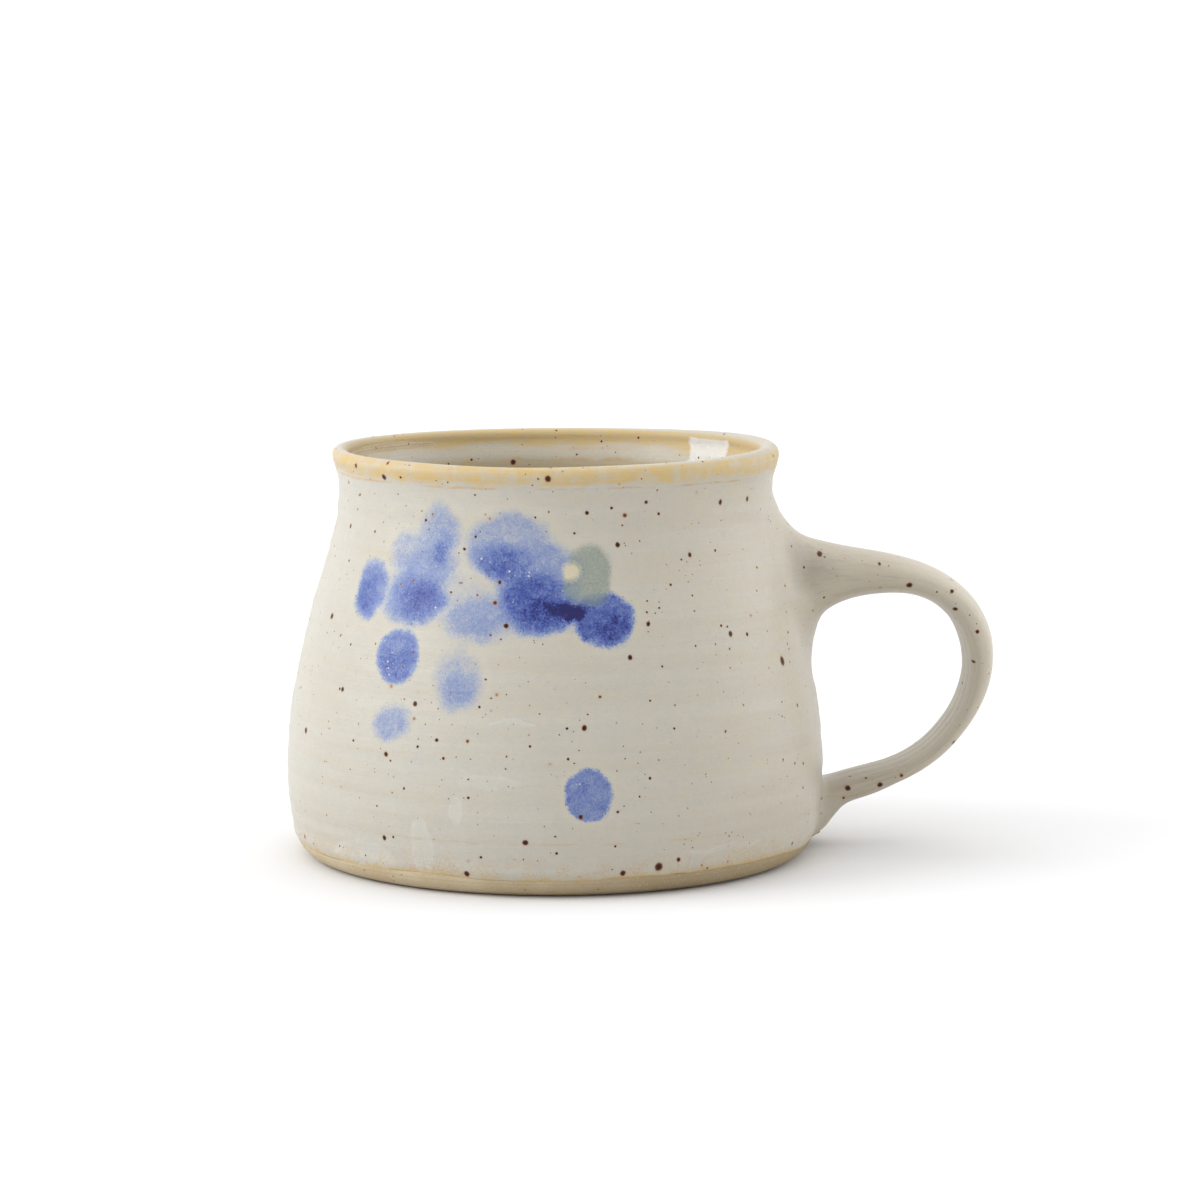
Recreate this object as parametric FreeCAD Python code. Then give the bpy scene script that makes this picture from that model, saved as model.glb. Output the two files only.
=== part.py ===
"""A wheel-thrown stoneware mug: a squat, round-bellied cup with a flared lip and one pulled strap handle.

The frame: millimetres, +Z up, origin on the cup's axis at the plane that it stands on, handle towards +X.

The mug is built as a potter builds it. The cup is one thrown and turned wall (thrown_body). The strap is pulled
separately (pulled_handle) and luted to the wall with slip at both ends (upper_slip, lower_slip). The fired glaze is a
thin coat: one poured inside (inside_glaze), and one dipped over the outside, the strap and the lip (outside_glaze).
A second, blue glaze is dabbed over the outside coat (cobalt_splashes).
"""

import FreeCAD
import Part

import math
import os

# Driving dimensions
FOOT_RADIUS = 46.4
HEEL_RADIUS = 5.4
FOOT_RING_WIDTH = 5.0
RECESS_DEPTH = 1.6
RECESS_CHAMFER = 1.4
FLOOR_HEIGHT = 6.4
FLOOR_CORNER_RADIUS = 6.5
GLAZE = 0.5
SLIP = 0.7
SPLASH = 0.25
DIP_LINE_INSIDE = 71.0

# The clay's outer wall above the heel, as (radius, height): belly, shoulder, neck, flare
WALL_OUTSIDE = [
    (52.7, 12.5),
    (52.85, 19.5),
    (52.1, 29.0),
    (50.15, 39.0),
    (47.75, 49.5),
    (44.9, 59.0),
    (42.85, 67.0),
    (42.3, 72.6),
    (42.7, 76.2),
]

# The lip is one round arc, given by its outer end, its crest and its inner end
LIP_OUTER = (43.6, 79.0)
LIP_CREST = (42.6, 80.6)
LIP_INNER = (41.2, 79.4)

# The clay's inner wall, from the lip down to the floor's corner
WALL_INSIDE_UPPER = [(39.7, 75.2)]
WALL_INSIDE_DIP = (39.25, DIP_LINE_INSIDE)
WALL_INSIDE_LOWER = [
    (40.35, 64.5),
    (42.5, 56.5),
    (45.0, 48.0),
    (47.3, 38.0),
    (48.85, 28.5),
    (49.4, 19.5),
]
WALL_INSIDE_FOOT_RADIUS = 48.9

# The strap's stations from the upper root to the lower, each a section through its outer edge (x, z), its inner edge
# (x, z) and its width. The first two and the last two lie in the wall, which trims them.
STRAP = [
    (39.0, 75.2, 44.0, 31.5, 31.0),
    (44.3, 67.1, 50.0, 40.2, 25.6),
    (48.5, 63.0, 52.0, 45.4, 23.0),
    (53.2, 61.0, 54.3, 48.2, 21.3),
    (60.0, 59.45, 59.0, 50.4, 19.8),
    (68.15, 57.95, 67.0, 51.45, 18.4),
    (77.25, 55.0, 74.3, 50.15, 17.4),
    (84.8, 48.2, 80.75, 45.3, 16.8),
    (87.55, 38.5, 83.6, 37.5, 16.2),
    (85.65, 29.5, 82.6, 30.35, 15.8),
    (81.15, 22.35, 79.1, 24.1, 15.2),
    (75.1, 16.65, 73.65, 19.0, 14.6),
    (68.05, 12.6, 66.7, 16.05, 14.0),
    (61.35, 10.0, 59.8, 14.35, 13.8),
    (57.4, 8.4, 55.95, 13.2, 14.2),
    (54.8, 5.0, 52.6, 12.9, 15.0),
    (52.2, 1.9, 49.2, 12.7, 16.2),
    (48.7, 1.2, 45.7, 12.5, 17.4),
]
STRAP_ROUNDNESS = 2.2
SECTION_POINTS = 24
UPPER_ROOT_FLOOR = 30.0

# The blue splashes on the cup: azimuth in degrees, height, half width and half height
SPLASHES = [
    (-145.0, 56.4, 4.3, 5.0),
    (-126.0, 67.5, 4.0, 4.7),
    (-134.5, 64.2, 3.8, 3.4),
    (-130.5, 55.8, 6.1, 5.0),
    (-118.0, 56.5, 3.2, 3.6),
    (-132.5, 44.5, 4.5, 4.7),
    (-131.8, 32.2, 4.5, 3.4),
    (-116.6, 41.0, 4.5, 5.5),
    (-106.5, 65.4, 7.8, 5.9),
    (-99.0, 56.2, 6.6, 5.5),
    (-115.0, 52.0, 4.8, 3.7),
    (-87.6, 60.7, 3.8, 5.5),
    (-84.0, 52.4, 5.2, 4.4),
    (-88.3, 20.1, 4.4, 4.5),
]

# The pegs that cut the splashes out of their skin reach from inside the wall to beyond it
PEG_START = 25.0
PEG_LENGTH = 40.0

ORIGIN = FreeCAD.Vector(0, 0, 0)
AXIS_Y = FreeCAD.Vector(0, 1, 0)
AXIS_Z = FreeCAD.Vector(0, 0, 1)
LARGER_THAN_THE_MUG = 200.0


def at(radius, height):
    """A point of the cup's outline, in the plane y = 0."""
    return FreeCAD.Vector(radius, 0, height)


def outward(tangent):
    """The outline's normal on the side away from the clay, for an outline drawn up the outside and down the inside."""
    return FreeCAD.Vector(tangent.z, 0, -tangent.x).normalize()


def fair_curve(points, start_tangent, end_tangent):
    """A smooth curve through the points, and its parameter at each of them."""
    parameters = [0.0]
    for a, b in zip(points, points[1:]):
        parameters.append(parameters[-1] + (b - a).Length)
    curve = Part.BSplineCurve()
    curve.interpolate(
        Points=points,
        Parameters=parameters,
        InitialTangent=start_tangent,
        FinalTangent=end_tangent,
    )
    return curve, parameters


def offset_curve(curve, parameters, distance):
    """The curve that lies that distance outside another, through the same stations."""
    tangents = [curve.tangent(u)[0] for u in parameters]
    points = [curve.value(u) + outward(t) * distance for u, t in zip(parameters, tangents)]
    return fair_curve(points, tangents[0], tangents[-1])


def quarter(centre, radius):
    """The lowest, middle and outermost points of the quarter circle below a centre and outside it."""
    slant = radius / math.sqrt(2)
    return (
        centre - FreeCAD.Vector(0, 0, radius),
        centre + FreeCAD.Vector(slant, 0, -slant),
        centre + FreeCAD.Vector(radius, 0, 0),
    )


def pushed(point, centre, distance):
    """The point moved away from the centre by the distance."""
    spoke = point - centre
    return centre + spoke * ((spoke.Length + distance) / spoke.Length)


class Outline:
    """The cup's clay outline moved outwards by a distance, in the stretches that the clay, slip and glaze share."""

    def __init__(self, distance=0.0):
        lip_points = [at(*p) for p in (LIP_OUTER, LIP_CREST, LIP_INNER)]
        lip = Part.Arc(*lip_points)
        lip_start = lip.tangent(lip.FirstParameter)[0]
        lip_end = lip.tangent(lip.LastParameter)[0]
        heel_top = at(FOOT_RADIUS + HEEL_RADIUS, HEEL_RADIUS)
        corner_top = at(WALL_INSIDE_FOOT_RADIUS, FLOOR_HEIGHT + FLOOR_CORNER_RADIUS)

        outside = fair_curve([heel_top] + [at(*p) for p in WALL_OUTSIDE] + lip_points[:1], AXIS_Z, lip_start)
        upper_points = lip_points[-1:] + [at(*p) for p in WALL_INSIDE_UPPER] + [at(*WALL_INSIDE_DIP)]
        lower_points = [at(*p) for p in WALL_INSIDE_LOWER] + [corner_top]
        inside = fair_curve(upper_points + lower_points, lip_end, -AXIS_Z)

        self.outside, _ = offset_curve(*outside, distance)
        self.inside, stations = offset_curve(*inside, distance)
        self.dip = stations[len(upper_points) - 1]
        lip_centre = Part.Circle(*lip_points).Center
        self.lip = [pushed(p, lip_centre, distance) for p in lip_points]
        self.heel = quarter(at(FOOT_RADIUS, HEEL_RADIUS), HEEL_RADIUS + distance)
        corner_centre = corner_top - FreeCAD.Vector(FLOOR_CORNER_RADIUS, 0, 0)
        self.corner = quarter(corner_centre, FLOOR_CORNER_RADIUS - distance)

    def heel_edge(self):
        return Part.Arc(*self.heel).toShape()

    def outside_edge(self):
        return self.outside.toShape()

    def lip_edge(self):
        return Part.Arc(*self.lip).toShape()

    def upper_inside_edge(self):
        return self.inside.toShape(self.inside.FirstParameter, self.dip)

    def lower_inside_edge(self):
        return self.inside.toShape(self.dip, self.inside.LastParameter)

    def corner_edge(self):
        return Part.Arc(*self.corner).toShape()


def line(a, b):
    return Part.makeLine(a, b)


def turned(edges):
    """The solid of revolution of a closed outline."""
    wire = Part.Wire(Part.__sortEdges__(edges))
    return Part.Face(wire).revolve(ORIGIN, AXIS_Z, 360)


def thrown_body(clay):
    """The cup's clay: wall, lip and floor, with a shallow recess turned inside the foot ring."""
    ring_inner = FOOT_RADIUS - FOOT_RING_WIDTH
    recess_radius = ring_inner - RECESS_CHAMFER
    underside = [
        at(0, RECESS_DEPTH),
        at(recess_radius, RECESS_DEPTH),
        at(ring_inner, 0),
        clay.heel[0],
    ]
    floor_centre = at(0, FLOOR_HEIGHT)
    edges = [line(a, b) for a, b in zip(underside, underside[1:])]
    edges += [clay.heel_edge(), clay.outside_edge(), clay.lip_edge()]
    edges += [clay.upper_inside_edge(), clay.lower_inside_edge(), clay.corner_edge()]
    edges += [line(clay.corner[0], floor_centre), line(floor_centre, underside[0])]
    return turned(edges)


def filled(outline):
    """Everything within an outline's outside, the cavity included, up to the lip's outer end."""
    foot = outline.heel[0]
    top = outline.outside.value(outline.outside.LastParameter)
    edges = [outline.heel_edge(), outline.outside_edge()]
    edges += [line(top, at(0, top.z)), line(at(0, top.z), at(0, foot.z)), line(at(0, foot.z), foot)]
    return turned(edges)


def inside_glaze(clay, coat):
    """The poured liner: the wall below the dip line, and the floor."""
    under_centre = at(0, clay.corner[0].z)
    face_centre = at(0, coat.corner[0].z)
    edges = [clay.lower_inside_edge(), clay.corner_edge(), line(clay.corner[0], under_centre)]
    edges += [line(under_centre, face_centre), line(face_centre, coat.corner[0])]
    edges += [coat.corner_edge(), coat.lower_inside_edge()]
    edges += [line(coat.inside.value(coat.dip), clay.inside.value(clay.dip))]
    return turned(edges)


def strap_section(outer, inner, width, grow):
    """A rounded oblong across the strap, from its outer edge to its inner one; its width lies along Y."""
    centre = (outer + inner) / 2
    reach = (outer - inner) / 2
    reach *= 1 + grow / reach.Length
    across = FreeCAD.Vector(0, width / 2 + grow, 0)
    points = []
    for i in range(SECTION_POINTS):
        angle = 2 * math.pi * i / SECTION_POINTS
        c, s = math.cos(angle), math.sin(angle)
        u = math.copysign(abs(c) ** (2 / STRAP_ROUNDNESS), c)
        v = math.copysign(abs(s) ** (2 / STRAP_ROUNDNESS), s)
        points.append(centre + across * u + reach * v)
    curve = Part.BSplineCurve()
    curve.interpolate(Points=points, Parameters=list(range(SECTION_POINTS + 1)), PeriodicFlag=True)
    return Part.Wire(curve.toShape())


def strap(grow=0.0):
    """The strap as it runs from inside the wall at the upper root to inside the wall at the lower one."""
    sections = [
        strap_section(at(outer_x, outer_z), at(inner_x, inner_z), width, grow)
        for outer_x, outer_z, inner_x, inner_z, width in STRAP
    ]
    return Part.makeLoft(sections, True, False)


def outside_glaze(clay, coat, bare_strap):
    """The dipped coat: from the glaze line up the outside, round the strap, over the lip and down to the dip line."""
    edges = [clay.outside_edge(), clay.lip_edge(), clay.upper_inside_edge()]
    edges += [coat.outside_edge(), coat.lip_edge(), coat.upper_inside_edge()]
    edges += [line(clay.heel[2], coat.heel[2])]
    edges += [line(clay.inside.value(clay.dip), coat.inside.value(coat.dip))]
    glaze_line = clay.heel[2].z
    size = LARGER_THAN_THE_MUG
    below = Part.makeBox(size, size, size, FreeCAD.Vector(0, -size / 2, glaze_line - size))
    strap_coat = strap(GLAZE).cut(below).cut(filled(clay))
    return turned(edges).fuse(strap_coat).cut(bare_strap)


def splash_stencil(azimuth, height, half_width, half_height):
    """An oval peg through the wall, along the cup's radius at that azimuth."""
    oval = Part.Ellipse(ORIGIN, max(half_width, half_height), min(half_width, half_height))
    peg = Part.Face(Part.Wire(oval.toShape())).extrude(AXIS_Z * PEG_LENGTH)
    if half_width > half_height:
        peg.rotate(ORIGIN, AXIS_Z, 90)
    peg.rotate(ORIGIN, AXIS_Y, 90)
    peg.translate(at(PEG_START, height))
    peg.rotate(ORIGIN, AXIS_Z, azimuth)
    return peg


def cobalt_splashes(coat, splash):
    """The blue glaze: a thin skin on the outside coat, where the stencils cut it."""
    skin = filled(splash).cut(filled(coat))
    pegs = [splash_stencil(*s) for s in SPLASHES]
    return skin.common(pegs[0].multiFuse(pegs[1:]))


def as_piece(solids):
    """One solid on its own, or several as one compound."""
    return solids[0] if len(solids) == 1 else Part.makeCompound(solids)


def at_root(joints, upper):
    """The slip of the upper root, or of the lower one."""
    return as_piece([s for s in joints.Solids if (s.BoundBox.Center.z > UPPER_ROOT_FLOOR) == upper])


def build():
    clay = Outline()
    slip = Outline(SLIP)
    coat = Outline(GLAZE)
    splash = Outline(GLAZE + SPLASH)
    bare_strap = strap()
    joints = bare_strap.common(filled(slip)).cut(filled(clay))
    return {
        "thrown_body": thrown_body(clay),
        "pulled_handle": bare_strap.cut(filled(slip)),
        "upper_slip": at_root(joints, upper=True),
        "lower_slip": at_root(joints, upper=False),
        "inside_glaze": inside_glaze(clay, coat),
        "outside_glaze": outside_glaze(clay, coat, bare_strap),
        "cobalt_splashes": cobalt_splashes(coat, splash),
    }


def main():
    os.makedirs("parts", exist_ok=True)
    for name, shape in build().items():
        piece = as_piece(shape.Solids)
        piece.exportStep(os.path.join("parts", name + ".step"))
        box = piece.BoundBox
        print(
            f"{name}: {len(piece.Solids)} solid(s), valid {piece.isValid()}, {piece.Volume / 1000:.2f} cm3, "
            f"x {box.XMin:.1f}..{box.XMax:.1f}, y {box.YMin:.1f}..{box.YMax:.1f}, z {box.ZMin:.1f}..{box.ZMax:.1f}"
        )


main()
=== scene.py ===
"""A wheel-thrown stoneware mug with a pulled strap handle, oatmeal glaze, iron specks and cobalt splashes.

The fired surface is one smooth skin: the turned cup and the strap are joined as an implicit surface, so
the roots blend as wet clay does. From that skin come the outside glaze, which ends in a rolled edge above
the bare foot, and the strap's clay under it. The cup's clay and the liner glaze are turned from the same
outline. Shape is worked out in millimetres, in the CAD's frame.
"""

import math

import bmesh
import bpy
import numpy as np
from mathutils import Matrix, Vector


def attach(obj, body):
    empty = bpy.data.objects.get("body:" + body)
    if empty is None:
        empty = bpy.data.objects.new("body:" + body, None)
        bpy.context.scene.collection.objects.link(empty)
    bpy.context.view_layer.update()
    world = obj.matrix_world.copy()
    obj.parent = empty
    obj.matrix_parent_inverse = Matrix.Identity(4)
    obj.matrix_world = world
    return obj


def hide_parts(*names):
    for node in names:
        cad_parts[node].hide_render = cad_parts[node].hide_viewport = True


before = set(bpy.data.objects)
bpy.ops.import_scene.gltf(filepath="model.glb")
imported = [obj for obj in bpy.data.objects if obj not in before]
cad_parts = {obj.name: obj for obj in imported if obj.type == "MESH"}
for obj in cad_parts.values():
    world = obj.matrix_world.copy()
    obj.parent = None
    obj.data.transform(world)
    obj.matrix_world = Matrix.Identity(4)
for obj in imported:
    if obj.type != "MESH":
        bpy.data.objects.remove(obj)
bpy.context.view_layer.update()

MM = 0.001

# -----------------------------------------------------------------------------
# The design, in millimetres: the same outline and strap stations as the CAD model
# -----------------------------------------------------------------------------

FOOT_RADIUS = 46.4
HEEL_RADIUS = 5.4
WALL_OUTSIDE = [
    (52.7, 12.5),
    (52.85, 19.5),
    (52.1, 29.0),
    (50.15, 39.0),
    (47.75, 49.5),
    (44.9, 59.0),
    (42.85, 67.0),
    (42.3, 72.6),
    (42.7, 76.2),
]
LIP_OUTER = (43.6, 79.0)
LIP_CREST = (42.6, 80.6)
LIP_INNER = (41.2, 79.4)
WALL_INSIDE = [
    (39.7, 75.2),
    (39.25, 71.0),
    (40.35, 64.5),
    (42.5, 56.5),
    (45.0, 48.0),
    (47.3, 38.0),
    (48.85, 28.5),
    (49.4, 19.5),
    (48.9, 12.9),
]
FLOOR_HEIGHT = 6.4
FLOOR_CORNER_RADIUS = 6.5
FOOT_RING_WIDTH = 5.0
RECESS_DEPTH = 1.6
GLAZE = 0.5
SINK = 0.08  # how far a coat's back lies inside the clay, so that no gap shows at its edge
DIP_LINE_INSIDE = 71.0

# Strap stations from the upper root to the lower: outer edge (x, z), inner edge (x, z), width
STRAP = [
    (39.0, 75.2, 44.0, 31.5, 31.0),
    (44.3, 67.1, 50.0, 40.2, 25.6),
    (48.5, 63.0, 52.0, 45.4, 23.0),
    (53.2, 61.0, 54.3, 48.2, 21.3),
    (60.0, 59.45, 59.0, 50.4, 19.8),
    (68.15, 57.95, 67.0, 51.45, 18.4),
    (77.25, 55.0, 74.3, 50.15, 17.4),
    (84.8, 48.2, 80.75, 45.3, 16.8),
    (87.55, 38.5, 83.6, 37.5, 16.2),
    (85.65, 29.5, 82.6, 30.35, 15.8),
    (81.15, 22.35, 79.1, 24.1, 15.2),
    (75.1, 16.65, 73.65, 19.0, 14.6),
    (68.05, 12.6, 66.7, 16.05, 14.0),
    (61.35, 10.0, 59.8, 14.35, 13.8),
    (57.4, 8.4, 55.95, 13.2, 14.2),
    (54.8, 5.0, 52.6, 12.9, 15.0),
    (52.2, 1.9, 49.2, 12.7, 16.2),
    (48.7, 1.2, 45.7, 12.5, 17.4),
]
STRAP_ROUNDNESS = 2.2
UPPER_ROOT = (47, 0, 53)
LOWER_ROOT = (54, 0, 8.5)
UPPER_BLEND = 5.0
LOWER_BLEND = 1.6

FLOOR_RADII = (400.0, 4000.0, 60000.0)

# The skin's coarse cage: columns round the cup, rows up the wall, and the two openings where the strap joins
COLUMNS = 64
TUBE_SIDES = 24
TUBE_RINGS = 26
WALL_ROWS = [0.7, 2.0, 3.4, 4.9, 6.4, 7.9, 9.4, 10.9, 12.4, 13.9, 16.2, 19.2, 22.6, 26.4, 30.6, 35.2]
WALL_ROWS += [40.0, 44.2, 48.4, 52.6, 56.8, 61.0, 65.2, 68.6, 71.5, 74.0, 76.2, 78.0]
INNER_ROWS = [77.6, 75.0, 72.8, DIP_LINE_INSIDE]
UPPER_HOLE = {"low": 40.0, "high": 65.2, "columns": 3}
LOWER_HOLE = {"low": 2.0, "high": 13.9, "columns": 2}

# The glaze line above the bare foot: its mean height, the dip's tilt and where that tilt points, in radians
GLAZE_LINE = 3.7
GLAZE_LINE_TILT = -0.15
GLAZE_LINE_TURN = 0.1
# Under the strap's tail it hangs lower: by how much, and the azimuths between which the drop fades out
GLAZE_TAIL_DROP = 1.5
GLAZE_TAIL = (0.1, 0.26)
GLAZE_ROLL = 3.2  # the height over which the edge rolls down to the clay
# Its waves: size, turns and phase
GLAZE_LINE_WANDER = [(0.22, 5, 0.6), (0.16, 9, 2.1), (0.1, 17, 0.0)]

# Splashes on the cup: azimuth, height, half width, half height, strength and how soft the edge is.
# The places of splashes, pools, milky runs and large specks were read off the photo as azimuth and height.
SPLASHES = [
    (-145.2, 56.2, 4.6, 5.6, 0.46, 0.35),
    (-126.0, 67.4, 4.9, 6.2, 0.30, 0.5),
    (-134.2, 63.6, 5.4, 5.0, 0.27, 0.5),
    (-130.4, 55.8, 7.4, 5.6, 0.44, 0.4),
    (-128.0, 61.0, 6.6, 6.0, 0.36, 0.5),
    (-118.4, 56.2, 5.2, 4.6, 0.17, 0.6),
    (-132.4, 44.5, 4.7, 5.0, 0.50, 0.25),
    (-131.8, 32.2, 4.8, 3.8, 0.30, 0.45),
    (-116.8, 41.0, 5.2, 6.4, 0.24, 0.55),
    (-106.8, 65.8, 9.2, 6.6, 0.28, 0.25),
    (-99.2, 61.0, 8.2, 7.0, 0.34, 0.4),
    (-99.2, 55.6, 8.4, 5.9, 0.50, 0.3),
    (-113.4, 52.6, 7.4, 4.8, 0.33, 0.5),
    (-84.0, 52.5, 5.7, 4.7, 0.6, 0.2),
    (-88.3, 20.1, 4.5, 4.6, 0.46, 0.15),
]
# Where the cobalt pooled darker within them
POOLS = [
    (-146.0, 54.6, 2.4, 3.4, 0.12, 0.6),
    (-128.9, 55.2, 4.2, 2.6, 0.26, 0.7),
    (-124.8, 64.6, 1.4, 2.6, 0.2, 0.7),
    (-108.8, 62.8, 4.2, 2.6, 0.32, 0.8),
    (-132.0, 42.4, 3.4, 2.8, 0.08, 0.6),
    (-101.0, 58.0, 5.4, 3.0, 0.18, 0.8),
    (-98.0, 53.8, 6.2, 2.4, 0.24, 0.7),
    (-93.4, 54.3, 3.4, 1.3, 0.34, 0.6),
    (-91.2, 53.9, 2.0, 1.1, 0.7, 0.5),
    (-83.0, 51.0, 3.6, 2.6, 0.14, 0.6),
    (-116.0, 38.4, 3.2, 2.8, 0.12, 0.8),
]
# Single patches: azimuth, height, half width and half height
GREEN_PATCH = (-87.4, 60.7, 4.4, 5.8)
PALE_SPOT = (-91.6, 61.7, 1.7, 1.9)
# The painted shade in the crease beside the strap's upper root
ROOT_PAINTED_SHADE = (-12.0, 57.0, 6.0, 6.5)

# Milky runs in the glaze: azimuth, height, half width, half height, strength
MILKY = [
    (-124.0, 9.0, 2.0, 5.0, 0.5),
    (-115.8, 16.9, 1.3, 2.5, 0.5),
    (-140.5, 5.8, 7.5, 2.6, 0.5),
    (-109.0, 22.6, 5.5, 1.1, 0.3),
    (-104.5, 33.6, 3.8, 0.3, 0.5),
    (-57.0, 8.0, 8.5, 0.5, 0.4),
    (60.0, 30.0, 6.0, 1.2, 0.3),
    (120.0, 12.0, 1.8, 6.0, 0.5),
    (150.0, 44.0, 7.0, 1.5, 0.3),
]
# Thin ochre lines: height, half thickness, strength and the side of the wall
OCHRE_LINES = [
    (76.7, 0.3, 0.75, "outside"),
    (10.8, 0.35, 0.28, "outside"),
    (74.9, 0.7, 0.9, "inside"),
    (76.9, 0.4, 0.4, "inside"),
]
PAINTED_REFLECTION_AZIMUTH = math.radians(36.0)  # azimuth of the painted reflection inside the lip, a bright white patch

# Iron specks: cell, greatest radius and share of cells that hold one
SPECK_SIZES = [(2.3, 0.3, 0.8), (1.35, 0.15, 0.8)]
# The largest ones on the cup: azimuth, height and radius
LARGE_SPECKS = [
    (-97, 78.7, 0.6),
    (-48, 72.8, 0.5),
    (-79.6, 66.1, 0.45),
    (-60, 63.5, 0.42),
    (-52, 48.2, 0.5),
    (-34.3, 41.4, 0.8),
    (-89.3, 32.8, 0.5),
    (-73.4, 5.7, 0.75),
    (-81.2, 4.9, 0.55),
    (-126.4, 36.2, 0.45),
    (-133.2, 10.1, 0.45),
    (-114, 4.6, 0.55),
    (-87.2, 72.2, 0.35),
    (-106.4, 51.4, 0.45),
    (-108.6, 59.3, 0.35),
    (-73.8, 51.4, 0.4),
    (-78.7, 45.4, 0.45),
    (-148.1, 37.0, 0.4),
    (-90.2, 16.2, 0.4),
    (-142.3, 80.6, 0.45),
]
# The same on the strap's near side: x, height, radius
STRAP_SPECKS = [
    (51.9, 59.8, 0.5),
    (64.0, 57.6, 0.28),
    (78.6, 52.0, 0.38),
    (79.4, 48.3, 0.38),
    (83.6, 37.4, 0.28),
    (58.1, 12.4, 0.5),
]


def srgb(r, g, b):
    """A colour given as 0 to 255 in sRGB, as the linear one that shaders take."""
    channels = [c / 255 for c in (r, g, b)]
    return tuple(c / 12.92 if c <= 0.04045 else ((c + 0.055) / 1.055) ** 2.4 for c in channels) + (1.0,)


OATMEAL = srgb(186, 179, 161)
OATMEAL_PALE = srgb(189, 184, 170)
OATMEAL_TAN = srgb(187, 175, 149)
STRAP_GREY = srgb(179, 165, 138)
# The strap's painted light: a paler colour towards its outer bend
STRAP_PAINTED_LIGHT = srgb(200, 190, 168)
STRAP_DARK = srgb(132, 120, 94)
MILK = srgb(202, 199, 189)
# The painted reflection inside the lip
REFLECTION_WHITE = srgb(222, 218, 208)
HALO = srgb(200, 190, 160)
OCHRE_PALE = srgb(188, 174, 138)
OCHRE = srgb(199, 167, 90)
OCHRE_DEEP = srgb(190, 144, 58)
INNER_TAN = srgb(180, 158, 108)
GREEN = srgb(120, 132, 124)
COBALT = [
    (0.0, srgb(174, 174, 168)),
    (0.22, srgb(148, 157, 176)),
    (0.42, srgb(110, 127, 170)),
    (0.6, srgb(76, 95, 156)),
    (0.78, srgb(42, 62, 140)),
    (0.95, srgb(3, 10, 84)),
]
SPECK_RUST = srgb(150, 98, 50)
SPECK_BROWN = srgb(78, 40, 26)
SPECK_BLACK = srgb(30, 18, 15)
LINER = srgb(180, 166, 134)
LINER_PALE = srgb(192, 180, 154)
CLAY = srgb(188, 170, 138)
CLAY_PALE = srgb(200, 186, 158)
CLAY_DARK = srgb(140, 121, 88)
SLIP = srgb(190, 170, 134)
FLOOR_NEAR = srgb(223, 223, 224), srgb(225, 225, 226)
FLOOR_FAR = srgb(253, 253, 253)
SPECULAR = 0.25
GLAZE_RELIEF = 0.12  # in millimetres


# -----------------------------------------------------------------------------
# Curves
# -----------------------------------------------------------------------------


def spline(knots, values, ends=None):
    """A cubic spline with continuous curvature. ends gives its two end slopes; without it they are free."""
    knots = np.asarray(knots, float)
    values = np.asarray(values, float).reshape(len(knots), -1)
    n = len(knots)
    step = np.diff(knots)
    rise = np.diff(values, axis=0) / step[:, None]
    matrix = np.zeros((n, n))
    right = np.zeros_like(values)
    for i in range(1, n - 1):
        matrix[i, i - 1] = step[i]
        matrix[i, i] = 2 * (step[i - 1] + step[i])
        matrix[i, i + 1] = step[i - 1]
        right[i] = 3 * (step[i] * rise[i - 1] + step[i - 1] * rise[i])
    if ends is None:
        matrix[0, :2], right[0] = (2, 1), 3 * rise[0]
        matrix[-1, -2:], right[-1] = (1, 2), 3 * rise[-1]
    else:
        matrix[0, 0], right[0] = 1, ends[0]
        matrix[-1, -1], right[-1] = 1, ends[1]
    slope = np.linalg.solve(matrix, right)

    def value(t):
        t = np.clip(np.asarray(t, float), knots[0], knots[-1])
        i = np.clip(np.searchsorted(knots, t, side="right") - 1, 0, n - 2)
        h = step[i][..., None]
        s = ((t - knots[i]) / step[i])[..., None]
        a, b = values[i], values[i + 1]
        return (
            a * (1 + 2 * s) * (1 - s) ** 2
            + b * s**2 * (3 - 2 * s)
            + h * slope[i] * s * (1 - s) ** 2
            - h * slope[i + 1] * s**2 * (1 - s)
        )

    return value


def smooth(low, high, x):
    s = np.clip((x - low) / (high - low), 0, 1)
    return s * s * (3 - 2 * s)


def chords(points):
    points = np.asarray(points, float)
    return np.concatenate([[0], np.cumsum(np.linalg.norm(np.diff(points, axis=0), axis=1))])


def faired(points, start, end, spacing=0.7):
    """Close points along a smooth curve through a few, with its two end directions."""
    knots = chords(points)
    curve = spline(knots, points, (np.array(start, float), np.array(end, float)))
    return curve(np.linspace(0, knots[-1], int(knots[-1] / spacing) + 2))


def arc(centre, radius, start, end, count=16):
    angles = np.radians(np.linspace(start, end, count))
    return np.stack([centre[0] + radius * np.cos(angles), centre[1] + radius * np.sin(angles)], 1)


def circle_through(a, b, c):
    """The centre and radius of the circle through three points."""
    (ax, ay), (bx, by), (cx, cy) = a, b, c
    matrix = 2 * np.array([[bx - ax, by - ay], [cx - ax, cy - ay]])
    right = np.array([bx**2 - ax**2 + by**2 - ay**2, cx**2 - ax**2 + cy**2 - ay**2])
    centre = np.linalg.solve(matrix, right)
    return centre, float(np.hypot(*(np.array(a) - centre)))


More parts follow.
